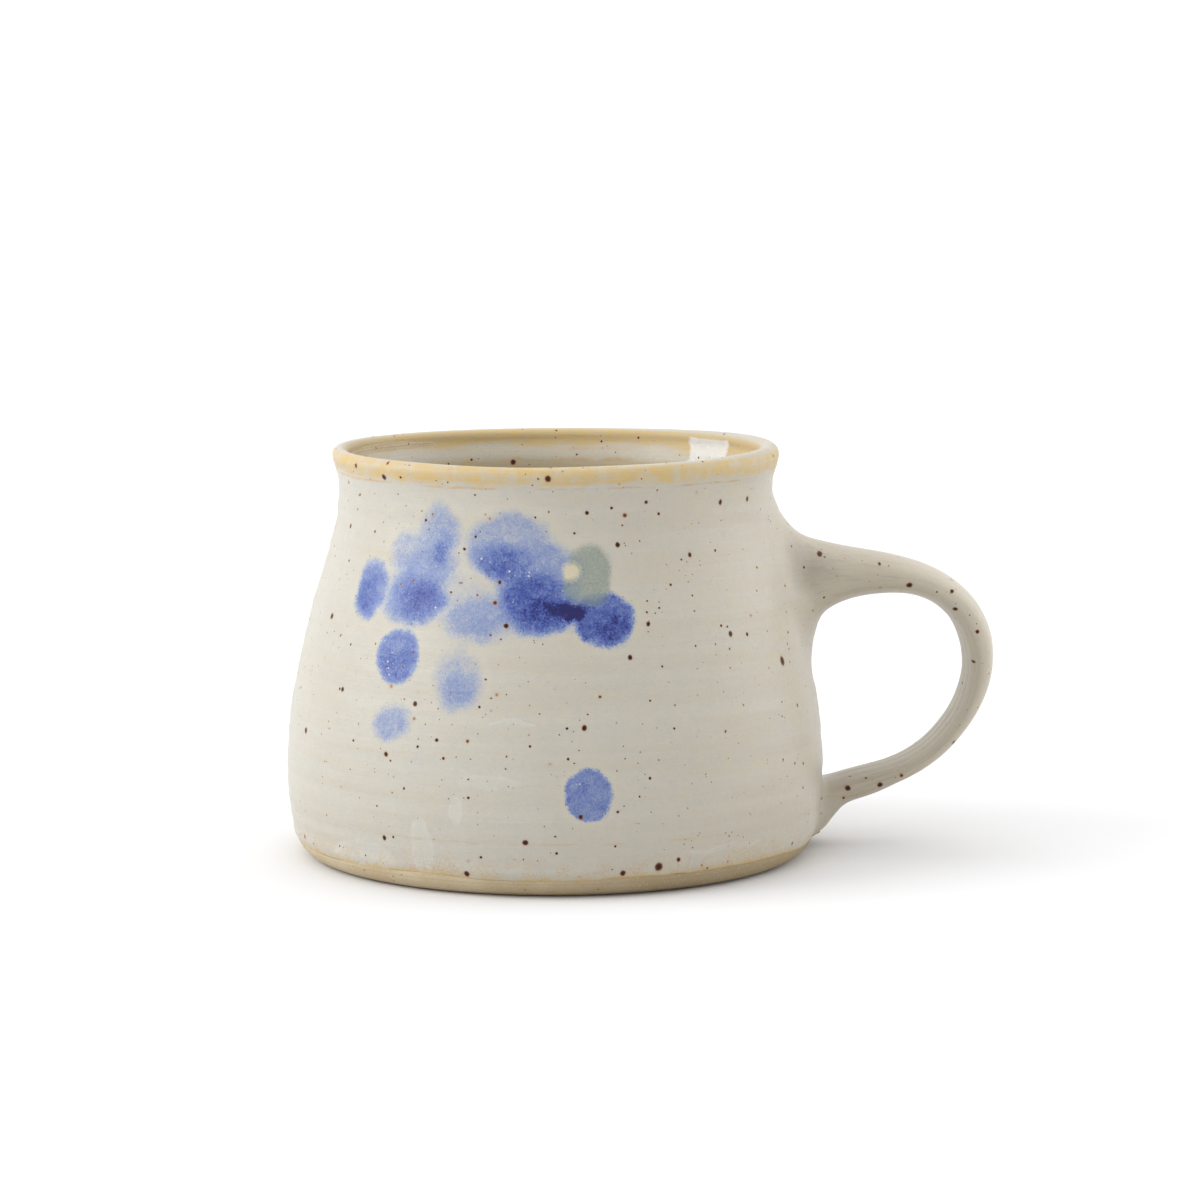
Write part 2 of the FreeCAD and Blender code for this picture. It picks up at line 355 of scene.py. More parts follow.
def outline():
    """The clay's outline in (r, z), from the foot ring up the outside and over the lip to the floor.

    Returns the points, their normals away from the clay, and the indexes where the heel, wall and lip end.
    """
    centre, radius = circle_through(LIP_OUTER, LIP_CREST, LIP_INNER)
    first = math.degrees(math.atan2(LIP_OUTER[1] - centre[1], LIP_OUTER[0] - centre[0]))
    last = math.degrees(math.atan2(LIP_INNER[1] - centre[1], LIP_INNER[0] - centre[0]))
    lip = arc(centre, radius, first, last, 13)
    heel = arc((FOOT_RADIUS, HEEL_RADIUS), HEEL_RADIUS, -90, 0, 14)
    up = (-math.sin(math.radians(first)), math.cos(math.radians(first)))
    down = (math.sin(math.radians(last)), -math.cos(math.radians(last)))
    outside = faired([heel[-1]] + WALL_OUTSIDE + [LIP_OUTER], (0, 1), up)
    inside = faired([LIP_INNER] + WALL_INSIDE, (-down[0], -down[1]), (0, -1))
    corner_centre = (WALL_INSIDE[-1][0] - FLOOR_CORNER_RADIUS, FLOOR_HEIGHT + FLOOR_CORNER_RADIUS)
    corner = arc(corner_centre, FLOOR_CORNER_RADIUS, 0, -90, 14)
    points = np.concatenate([heel, outside[1:], lip[1:], inside[1:], corner[1:]])
    tangent = np.gradient(points, axis=0)
    normal = np.stack([tangent[:, 1], -tangent[:, 0]], 1)
    normal /= np.linalg.norm(normal, axis=1)[:, None]
    marks = np.cumsum([len(heel) - 1, len(outside) - 1, len(lip) - 1])
    return points, normal, marks


OUTLINE, OUTLINE_NORMAL, (HEEL_END, WALL_END, LIP_END) = outline()
SKIN = OUTLINE + OUTLINE_NORMAL * GLAZE


def skin_at_height(z, inner=False):
    """The glazed outline's point at a height, on the outside or the inside."""
    part = slice(LIP_END, None) if inner else slice(0, WALL_END + 1)
    heights, radii = SKIN[part, 1], SKIN[part, 0]
    order = np.argsort(heights)
    return np.interp(z, heights[order], radii[order]), z


STRAP_TABLE = np.array(STRAP)
STRAP_KNOTS = chords((STRAP_TABLE[:, 0:2] + STRAP_TABLE[:, 2:4]) / 2)
STRAP_CURVE = spline(STRAP_KNOTS, STRAP_TABLE)
STRAP_SAMPLES = np.linspace(0, STRAP_KNOTS[-1], 140)


def strap_frames(t):
    """Centre, outward direction, half thickness and half width of the strap's glazed section at each t."""
    row = STRAP_CURVE(t)
    outer, inner = row[..., 0:2], row[..., 2:4]
    reach = (outer - inner) / 2
    half = np.linalg.norm(reach, axis=-1)
    return (outer + inner) / 2, reach / half[..., None], half + GLAZE, row[..., 4] / 2 + GLAZE


# -----------------------------------------------------------------------------
# The implicit skin: cup and strap, blended where they meet
# -----------------------------------------------------------------------------


def cup_distance(p):
    """Signed distance to the glazed cup, its gradient, and whether the nearest point is on the outer wall."""
    r = np.hypot(p[:, 0], p[:, 1])
    q = np.stack([r, p[:, 2]], 1)
    distance = np.empty(len(q))
    normal = np.empty((len(q), 2))
    nearest = np.empty(len(q), int)
    start, end = SKIN[:-1], SKIN[1:]
    along = end - start
    length2 = (along**2).sum(1)
    for i in range(0, len(q), 4000):
        part = q[i : i + 4000, None, :] - start[None]
        s = np.clip((part * along).sum(2) / length2, 0, 1)
        gap = part - s[..., None] * along
        square = (gap**2).sum(2)
        j = square.argmin(1)
        rows = np.arange(len(j))
        s = s[rows, j]
        n = OUTLINE_NORMAL[j] * (1 - s[:, None]) + OUTLINE_NORMAL[j + 1] * s[:, None]
        n /= np.linalg.norm(n, axis=1)[:, None]
        distance[i : i + 4000] = (gap[rows, j] * n).sum(1)
        normal[i : i + 4000] = n
        nearest[i : i + 4000] = j
    radial = p[:, :2] / np.maximum(r, 1e-9)[:, None]
    gradient = np.concatenate([radial * normal[:, :1], normal[:, 1:]], 1)
    return distance, gradient, nearest < WALL_END


def strap_distance(p):
    """About the signed distance to the glazed strap, its gradient, and how far along it the point is."""
    q = p[:, [0, 2]]
    centre, out, half, _ = strap_frames(STRAP_SAMPLES)
    ahead = np.stack([out[:, 1], -out[:, 0]], 1)
    t = np.empty(len(q))
    for i in range(0, len(q), 4000):
        part = q[i : i + 4000, None, :] - centre[None]
        v = (part * out).sum(2)
        w = (part * ahead).sum(2)
        cost = w**2 + np.maximum(np.abs(v) - half * 1.1, 0) ** 2
        t[i : i + 4000] = STRAP_SAMPLES[cost.argmin(1)]
    for _ in range(3):
        centre, out, half, wide = strap_frames(t)
        ahead = np.stack([out[:, 1], -out[:, 0]], 1)
        beyond = strap_frames(t + 0.05)[0]
        speed = ((beyond - centre) * ahead).sum(1) / 0.05
        w = ((q - centre) * ahead).sum(1)
        t = np.clip(t + np.clip(w / np.maximum(speed, 0.3), -1.0, 1.0), 0, STRAP_KNOTS[-1])
    centre, out, half, wide = strap_frames(t)
    v = ((q - centre) * out).sum(1) / half
    u = p[:, 1] / wide
    n = STRAP_ROUNDNESS
    power = np.maximum(np.abs(u) ** n + np.abs(v) ** n, 1e-9)
    h = power ** (1 / n)
    pull = power ** (1 / n - 1)
    gu = np.sign(u) * np.abs(u) ** (n - 1) * pull / wide
    gv = np.sign(v) * np.abs(v) ** (n - 1) * pull / half
    size = np.maximum(np.hypot(gu, gv), 1e-6)
    gradient = np.stack([gv * out[:, 0], gu, gv * out[:, 1]], 1) / size[:, None]
    return (h - 1) / size, gradient, t


def by_strap(p):
    """Which points are near enough to the strap to feel it."""
    return (p[:, 0] > 34) & (np.abs(p[:, 1]) < 26)


def skin_distance(p):
    """The blended distance and its gradient, for points near the strap."""
    a, ga, on_wall = cup_distance(p)
    b, gb, t = strap_distance(p)
    k = UPPER_BLEND + (LOWER_BLEND - UPPER_BLEND) * smooth(0.3, 0.7, t / STRAP_KNOTS[-1])
    h = np.maximum(k - np.abs(a - b), 0) / k
    share = np.where(a < b, 1 - h / 2, h / 2)
    value = np.where(on_wall, np.minimum(a, b) - h * h * k / 4, a)
    share = np.where(on_wall, share, 1.0)[:, None]
    return value, ga * share + gb * (1 - share)


def settle(p, steps=6):
    """Moves points onto the skin."""
    p = p.copy()
    near = by_strap(p)
    distance, gradient, _ = cup_distance(p[~near])
    p[~near] -= gradient * distance[:, None]
    part = p[near]
    for _ in range(steps):
        value, gradient = skin_distance(part)
        square = np.maximum((gradient**2).sum(1), 0.05)
        part -= gradient * np.clip(value / square, -2.0, 2.0)[:, None]
    p[near] = part
    return p


# -----------------------------------------------------------------------------
# The hand's traces: how far the surface stands off its design, in millimetres
# -----------------------------------------------------------------------------


def waves(x, y, seed, count, low, high):
    """A repeatable sum of waves over two coordinates, about -1 to 1, at frequencies from low to high."""
    rng = np.random.default_rng(seed)
    total = np.zeros_like(x)
    for _ in range(count):
        turn, phase = rng.uniform(0, 2 * math.pi, 2)
        rate = rng.uniform(low, high)
        total += np.sin(rate * (x * math.cos(turn) + y * math.sin(turn)) + phase)
    return total / math.sqrt(count)


def throwing(p):
    """The cup's throwing rings and slight lack of truth, as a radial offset."""
    azimuth = np.arctan2(p[:, 1], p[:, 0])
    z = p[:, 2]
    height = z / 80
    rise = z + 0.9 * azimuth / math.pi + 0.5 * np.sin(azimuth + 0.8)
    rings = 0.055 * np.sin(rise * 2 * math.pi / 6.3 + 0.4) + 0.045 * np.sin(rise * 2 * math.pi / 3.7 + 1.9)
    rings += 0.05 * np.sin(rise * 2 * math.pi / 10.5 + 2.2)
    rings *= 0.7 + 0.3 * np.sin(z / 9.0 + 2 * azimuth)
    truth = 0.26 * np.cos(azimuth) + 0.14 * np.cos(2 * azimuth + 0.7) + 0.08 * np.cos(3 * azimuth + 2.0)
    uneven = 0.06 * waves(azimuth * 30, z, 3, 10, 0.08, 0.3)
    return rings * smooth(2, 10, z) + truth * height**2 + uneven * smooth(0, 8, z)


def glaze_line(azimuth):
    """The height where the outside glaze ends: the dip was a little tilted, and its edge wanders."""
    wander = sum(size * np.sin(rate * azimuth + phase) for size, rate, phase in GLAZE_LINE_WANDER)
    tail = 1 - smooth(*GLAZE_TAIL, np.abs(azimuth))
    return GLAZE_LINE - GLAZE_LINE_TILT * np.cos(azimuth + GLAZE_LINE_TURN) + wander - GLAZE_TAIL_DROP * tail


def smeared(p):
    """The bare clay's radial offset: as thrown, and swelled by the strap's smeared tail down at the foot."""
    offset = throwing(p)
    tail = (p[:, 0] > 40) & (np.abs(p[:, 1]) < 16) & (p[:, 2] < 14)
    tail &= np.hypot(p[:, 0], p[:, 1]) > FOOT_RADIUS
    part = p[tail]
    radius = np.hypot(part[:, 0], part[:, 1])
    radial = part * [1, 1, 0] / radius[:, None]
    moved = part.copy()
    for _ in range(12):
        value, gradient = skin_distance(moved)
        slope = np.maximum((gradient * radial).sum(1), 0.3)
        moved -= radial * np.clip((value + GLAZE) / slope, -1, 1)[:, None]
    swell = np.maximum(np.hypot(moved[:, 0], moved[:, 1]) - radius - 0.05, 0)
    offset[tail] += swell * smooth(0.2, 1.1, part[:, 2]) * (1 - smooth(2.7, 3.6, part[:, 2]))
    return offset


def hand_traces(p, normal):
    """The skin's points with the rings, the pull lines along the strap and the lip's slight waves."""
    azimuth = np.arctan2(p[:, 1], p[:, 0])
    near = by_strap(p)
    strap_share, t = np.zeros(len(p)), np.zeros(len(p))
    strap_share[near] = smooth(0.5, 6.0, cup_distance(p[near])[0])
    t[near] = strap_distance(p[near])[2]
    run = t / STRAP_KNOTS[-1]
    across = p[:, 1] + 0.6 * np.sin(t / 11.0)
    pulls = 0.04 * np.sin(across * 2.1 + 0.5) + 0.02 * np.sin(across * 3.9 + 1.3)
    pulls += 0.03 * waves(across * 2, t, 7, 8, 0.1, 0.9)
    pulls *= 0.35 + 0.65 * smooth(0.25, 0.5, run)
    waver = 0.16 * np.sin(t / 7.5 + 0.4) + 0.10 * np.sin(t / 4.1 + 2.0)
    offset = throwing(p) * (1 - strap_share) + (pulls + waver * 0.6) * strap_share
    out = p + normal * offset[:, None]
    lip = smooth(70, 80, p[:, 2]) * (1 - strap_share)
    out[:, 2] += lip * (0.18 * np.sin(2 * azimuth + 1.1) + 0.1 * np.sin(3 * azimuth + 0.3))
    out[:, 1] += strap_share * 0.35 * np.sin(t / 19.0 + 0.5)
    return out


# -----------------------------------------------------------------------------
# Meshes
# -----------------------------------------------------------------------------


def mesh_object(name, points, faces):
    mesh = bpy.data.meshes.new(name)
    corners = [tuple(v) for v in np.asarray(points) * MM]
    mesh.from_pydata(corners, [], [tuple(int(i) for i in f) for f in faces])
    made = bpy.data.objects.new(name, mesh)
    bpy.context.scene.collection.objects.link(made)
    return made


def finish_mesh(obj):
    """Welds, turns normals outwards and shades smooth."""
    bm = bmesh.new()
    bm.from_mesh(obj.data)
    bmesh.ops.remove_doubles(bm, verts=bm.verts, dist=1e-7)
    bmesh.ops.recalc_face_normals(bm, faces=bm.faces)
    bm.to_mesh(obj.data)
    bm.free()
    obj.data.shade_smooth()
    return obj


def strap_ring(t):
    """One ring of the strap's cage, from its outer edge round by +Y."""
    centre, out, half, wide = (a[0] for a in strap_frames(np.array([t])))
    points = []
    for k in range(TUBE_SIDES):
        c, s = math.cos(2 * math.pi * k / TUBE_SIDES), math.sin(2 * math.pi * k / TUBE_SIDES)
        v = math.copysign(abs(c) ** (2 / STRAP_ROUNDNESS), c) * half
        u = math.copysign(abs(s) ** (2 / STRAP_ROUNDNESS), s) * wide
        points.append((centre[0] + out[0] * v, u, centre[1] + out[1] * v))
    return points


def hole_loop(vertex, low, high, columns, from_top):
    """The grid vertices round an opening, from the middle of its top or bottom round by +Y."""
    top = [vertex(j, high) for j in range(columns + 1)]
    side = [vertex(columns, i) for i in range(high - 1, low - 1, -1)]
    bottom = [vertex(j, low) for j in range(columns - 1, -columns - 1, -1)]
    back = [vertex(-columns, i) for i in range(low + 1, high + 1)]
    rest = [vertex(j, high) for j in range(-columns + 1, 0)]
    loop = top + side + bottom + back + rest
    if from_top:
        return loop
    middle = loop.index(vertex(0, low))
    turned = loop[middle:] + loop[:middle]
    return [turned[0]] + turned[:0:-1]


def skin_cage():
    """The coarse quad cage of the outer skin. Returns points, faces and which faces are the strap's."""
    rows = [skin_at_height(z) for z in WALL_ROWS]
    lip = SKIN[WALL_END : LIP_END + 1]
    rows += [tuple(lip[int(round(f * (len(lip) - 1)))]) for f in (0.0, 0.25, 0.5, 0.75, 1.0)]
    rows += [skin_at_height(z, inner=True) for z in INNER_ROWS]
    points, faces, on_strap = [], [], []
    for r, z in rows:
        for j in range(COLUMNS):
            a = 2 * math.pi * j / COLUMNS
            points.append((r * math.cos(a), r * math.sin(a), z))

    def vertex(j, i):
        return i * COLUMNS + j % COLUMNS

    holes = []
    for hole in (UPPER_HOLE, LOWER_HOLE):
        holes.append((WALL_ROWS.index(hole["low"]), WALL_ROWS.index(hole["high"]), hole["columns"]))
    for i in range(len(rows) - 1):
        for j in range(-COLUMNS // 2, COLUMNS // 2):
            if any(low <= i < high and -c <= j < c for low, high, c in holes):
                continue
            faces.append((vertex(j, i), vertex(j + 1, i), vertex(j + 1, i + 1), vertex(j, i + 1)))
            on_strap.append(False)
    rings = []
    ends = STRAP_KNOTS[3] - 1.2, STRAP_KNOTS[-4] + 0.6
    for t in np.linspace(*ends, TUBE_RINGS):
        rings.append(list(range(len(points), len(points) + TUBE_SIDES)))
        points += strap_ring(t)
    (low, high, columns), (low_2, high_2, columns_2) = holes
    loops = [hole_loop(vertex, low, high, columns, True)] + rings
    loops += [hole_loop(vertex, low_2, high_2, columns_2, False)]
    for a, b in zip(loops, loops[1:]):
        for k in range(TUBE_SIDES):
            m = (k + 1) % TUBE_SIDES
            faces.append((a[k], a[m], b[m], b[k]))
            on_strap.append(True)
    used, faces = np.unique(np.array(faces), return_inverse=True)
    return np.array(points)[used], faces.reshape(-1, 4), on_strap


def relaxed(points, edges, weight, rounds=12):
    """Evens out the mesh near the roots: points move towards their neighbours' middle, then onto the skin."""
    moving = np.nonzero(weight > 0.01)[0]
    ends = np.concatenate([edges, edges[:, ::-1]])
    ends = ends[np.isin(ends[:, 0], moving)]
    count = np.bincount(ends[:, 0], minlength=len(points))[moving][:, None]
    for _ in range(rounds):
        total = np.zeros_like(points)
        np.add.at(total, ends[:, 0], points[ends[:, 1]])
        target = total[moving] / count
        step = (target - points[moving]) * 0.6 * weight[moving][:, None]
        points[moving] = settle(points[moving] + step, 1)
    return points


def fine_skin():
    """The skin at full resolution: points on the implicit surface, quads, and which are the strap's."""
    points, faces, on_strap = skin_cage()
    cage = mesh_object("skin_cage", points, faces)
    cage.data.polygons.foreach_set("material_index", [int(s) for s in on_strap])
    for _ in range(2):
        cage.data.materials.append(None)
    finish_mesh(cage)
    subdivide = cage.modifiers.new("subdivide", "SUBSURF")
    subdivide.levels = subdivide.render_levels = 2
    depsgraph = bpy.context.evaluated_depsgraph_get()
    mesh = bpy.data.meshes.new_from_object(cage.evaluated_get(depsgraph))
    p = np.empty(len(mesh.vertices) * 3)
    mesh.vertices.foreach_get("co", p)
    p = p.reshape(-1, 3) / MM
    quads = np.array([tuple(f.vertices) for f in mesh.polygons])
    marks = np.array([f.material_index for f in mesh.polygons], bool)
    edges = np.empty(len(mesh.edges) * 2, int)
    mesh.edges.foreach_get("vertices", edges)
    edges = edges.reshape(-1, 2)
    bpy.data.objects.remove(cage)
    p = settle(p)
    upper = np.linalg.norm(p - UPPER_ROOT, axis=1)
    lower = np.linalg.norm(p - LOWER_ROOT, axis=1)
    weight = np.maximum(1 - smooth(17, 25, upper), 1 - smooth(10, 17, lower))
    weight *= (p[:, 2] > 1.4) & (p[:, 2] < 76)
    p = relaxed(p, edges, weight)
    return settle(p), quads, marks


def vertex_normals(points, quads):
    """Area-weighted vertex normals of a mesh of quads."""
    a, b, c, d = (points[quads[:, k]] for k in range(4))
    n = np.cross(c - a, d - b)
    total = np.zeros_like(points)
    for k in range(4):
        np.add.at(total, quads[:, k], n)
    return total / np.maximum(np.linalg.norm(total, axis=1), 1e-12)[:, None]


def over_line(points):
    """Each point's height over the glaze line."""
    return points[:, 2] - glaze_line(np.arctan2(points[:, 1], points[:, 0]))


def cut_above_line(points, faces):
    """The part of a mesh above the glaze line: its points, its faces and the edges at its rims."""
    bm = bmesh.new()
    flat = points.copy()
    flat[:, 2] = over_line(points)
    made = [bm.verts.new(v) for v in flat]
    for f in faces:
        bm.faces.new([made[i] for i in f])
    bmesh.ops.bisect_plane(
        bm,
        geom=bm.verts[:] + bm.edges[:] + bm.faces[:],
        dist=1e-4,
        plane_co=(0, 0, 0),
        plane_no=(0, 0, 1),
        clear_inner=True,
    )
    bm.verts.index_update()
    out = np.array([v.co for v in bm.verts])
    shapes = [[v.index for v in f.verts] for f in bm.faces]
    edges = [(e.verts[0].index, e.verts[1].index) for e in bm.edges if len(e.link_faces) == 1]
    bm.free()
    out[:, 2] += glaze_line(np.arctan2(out[:, 1], out[:, 0]))
    return out, shapes, edges


def polygon_normals(points, shapes):
    total = np.zeros_like(points)
    for shape in shapes:
        a, b, c = points[shape[0]], points[shape[1]], points[shape[2]]
        n = np.cross(b - a, c - a) if len(shape) == 3 else np.cross(c - a, points[shape[3]] - b)
        for i in shape:
            total[i] += n
    return total / np.maximum(np.linalg.norm(total, axis=1), 1e-12)[:, None]


def outside_glaze(points, quads):
    """The outside coat: a closed shell from the rolled glaze edge above the foot to the dip line inside."""
    top, shapes, edges = cut_above_line(points, quads)
    normal = polygon_normals(top, shapes)
    roll = (GLAZE - 0.05) * (1 - smooth(0, GLAZE_ROLL, over_line(top))) ** 2
    face = top - normal * roll[:, None]
    back = top - normal * (GLAZE + SINK)
    n = len(top)
    faces = shapes + [[i + n for i in reversed(s)] for s in shapes]
    faces += [[a, b, b + n, a + n] for a, b in edges]
    return mesh_object("outside_glaze_coat", np.concatenate([face, back]), faces)


def mark_strap(obj):
    """Stores where each vertex lies along, across and through the strap, and how far it belongs to it."""
    p = np.empty(len(obj.data.vertices) * 3)
    obj.data.vertices.foreach_get("co", p)
    p = p.reshape(-1, 3) / MM
    near = by_strap(p)
    run, share = np.zeros((len(p), 3)), np.zeros(len(p))
    t = strap_distance(p[near])[2]
    centre, out, _, _ = strap_frames(t)
    run[near] = np.stack([t, p[near][:, 1], ((p[near][:, [0, 2]] - centre) * out).sum(1)], 1)
    share[near] = smooth(0.3, 5.0, cup_distance(p[near])[0])
    obj.data.attributes.new("strap_run", "FLOAT_VECTOR", "POINT").data.foreach_set("vector", run.ravel())
    obj.data.attributes.new("strap_share", "FLOAT", "POINT").data.foreach_set("value", share)


def strap_clay(points, quads, marks):
    """The strap's clay under the glaze, closed by caps sunk in the wall."""
    strap = quads[marks]
    used, flat = np.unique(strap, return_inverse=True)
    faces = flat.reshape(strap.shape)
    normal = vertex_normals(points, quads)[used]
    sink = GLAZE + 0.15 * (1 - smooth(4, 7, points[used][:, 2]))
    clay = points[used] - normal * sink[:, None]
    bm = bmesh.new()
    made = [bm.verts.new(v) for v in clay]
    for f in faces:
        bm.faces.new([made[i] for i in f])
    rims = [e for e in bm.edges if len(e.link_faces) == 1]
    sunk = bmesh.ops.extrude_edge_only(bm, edges=rims)
    for v in (g for g in sunk["geom"] if isinstance(g, bmesh.types.BMVert)):
        v.co.x -= 2.0
    bmesh.ops.holes_fill(bm, edges=[e for e in bm.edges if len(e.link_faces) == 1])
    bm.verts.index_update()
    shapes = [[v.index for v in f.verts] for f in bm.faces]
    made = mesh_object("strap_clay", np.array([v.co for v in bm.verts]), shapes)
    bm.free()
    return made


def turned(name, profile, columns, traces=throwing):
    """A closed solid of revolution from an open profile that starts and ends on the axis."""
    profile = np.asarray(profile, float)
    inner = profile[1:-1]
    angles = 2 * math.pi * np.arange(columns) / columns
    ring = np.stack([np.cos(angles), np.sin(angles)], 1)
    rings = [np.column_stack([ring * r, np.full(columns, z)]) for r, z in inner]
    points = np.concatenate(rings + [[[0, 0, profile[0][1]]], [[0, 0, profile[-1][1]]]])
    radial = points[:, :2] / np.maximum(np.hypot(points[:, 0], points[:, 1]), 1e-9)[:, None]
    points[:, :2] += radial * (traces(points) * smooth(20, 40, np.hypot(points[:, 0], points[:, 1])))[:, None]
    faces = []
    last = len(inner) - 1
    for i in range(last):
        for j in range(columns):
            k = (j + 1) % columns
            faces.append((i * columns + j, i * columns + k, (i + 1) * columns + k, (i + 1) * columns + j))
    first_pole, last_pole = len(points) - 2, len(points) - 1
    for j in range(columns):
        k = (j + 1) % columns
        faces.append((first_pole, k, j))
        faces.append((last_pole, last * columns + j, last * columns + k))
    return mesh_object(name, points, faces)


def spaced(points, spacing):
    """Points along a polyline at about that spacing."""
    lengths = chords(points)
    at = np.linspace(0, lengths[-1], max(int(round(lengths[-1] / spacing)), 1) + 1)
    return np.stack([np.interp(at, lengths, points[:, 0]), np.interp(at, lengths, points[:, 1])], 1)


def cup_clay():
    """The cup's clay, with the foot ring, the recess with its trimming rings, and the bare band above it."""
    shell = OUTLINE + OUTLINE_NORMAL * 0.02
    ring = FOOT_RADIUS - FOOT_RING_WIDTH
    trimmed = np.arange(1.0, ring - 2.4, 0.8)
    under = [(0.0, RECESS_DEPTH)] + [(r, RECESS_DEPTH + 0.07 * math.sin(r * 2.4)) for r in trimmed]
    under += [(ring - 1.6, RECESS_DEPTH - 0.15), (ring - 0.9, RECESS_DEPTH - 0.8)]
    under += [(ring - 0.3, 0.35), (ring + 0.4, 0.06)]
    under += [(ring + out, 0.0) for out in (1.2, 2.6, 4.0)]
    heel = spaced(shell[: HEEL_END + 1], 0.35)
    heel[:, 1] -= heel[0, 1] * (1 - smooth(0, 2, heel[:, 1]))
    wall = spaced(shell[HEEL_END : WALL_END + 1], 1.2)[1:]
    lip = spaced(shell[WALL_END : LIP_END + 1], 0.4)[1:]
    inside = spaced(shell[LIP_END:], 1.6)[1:]
    floor = [(r, FLOOR_HEIGHT) for r in np.arange(inside[-1][0] - 2, 2, -3.0)] + [(0.0, FLOOR_HEIGHT)]
    return turned("cup_clay", np.concatenate([under, heel, wall, lip, inside, floor]), 192, smeared)


def liner_glaze():
    """The poured liner: a thin closed shell over the inside wall and the floor, ringed by the throwing."""
    dip = LIP_END + int(np.argmin(np.abs(OUTLINE[LIP_END:, 1] - DIP_LINE_INSIDE)))
    face = spaced((OUTLINE + OUTLINE_NORMAL * GLAZE)[dip:], 0.9)
    back = spaced((OUTLINE - OUTLINE_NORMAL * SINK)[dip:], 1.8)[::-1]
    radii = np.arange(face[-1][0] - 0.9, 0.8, -0.9)
    top = FLOOR_HEIGHT + GLAZE
    floor = [(r, top + 0.22 * math.sin(r * 0.75) * math.exp(-((r - 16) / 22) ** 2)) for r in radii]
    floor.append((0.0, top + 0.1))
    under = [(r, FLOOR_HEIGHT - SINK) for r in np.arange(0.0, back[0][0] - 1, 4.0)]
    edge = [((face[0][0] + back[-1][0]) / 2, DIP_LINE_INSIDE + 0.3)]
    profile = np.concatenate([under, back, edge, face, floor])
    return turned("liner_glaze_coat", profile, 224)


def floor_disc():
    """A wide pale floor that reaches past the horizon of any view."""
    n = 96
    turns = [2 * math.pi * k / n for k in range(n)]
    points = [(r * math.cos(a), r * math.sin(a), 0.0) for r in FLOOR_RADII for a in turns]
    faces = [tuple(range(n))]
    for ring in (0, n):
        faces += [(ring + k, ring + n + k, ring + n + (k + 1) % n, ring + (k + 1) % n) for k in range(n)]
    return mesh_object("floor", points, faces)


skin, skin_quads, strap_marks = fine_skin()
skin = hand_traces(skin, vertex_normals(skin, skin_quads))
glaze = finish_mesh(outside_glaze(skin, skin_quads))
mark_strap(glaze)
strap = finish_mesh(strap_clay(skin, skin_quads, strap_marks))
cup = finish_mesh(cup_clay())
liner = finish_mesh(liner_glaze())
floor = floor_disc()

for piece, nodes, slot in (
    (glaze, ("outside_glaze", "cobalt_splashes"), "oatmeal_glaze"),
    (strap, ("pulled_handle",), "stoneware_clay"),
    (cup, ("thrown_body",), "stoneware_clay"),
    (liner, ("inside_glaze",), "liner_glaze"),
):
    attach(piece, "root")
    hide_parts(*nodes)

# -----------------------------------------------------------------------------
# Materials
# -----------------------------------------------------------------------------


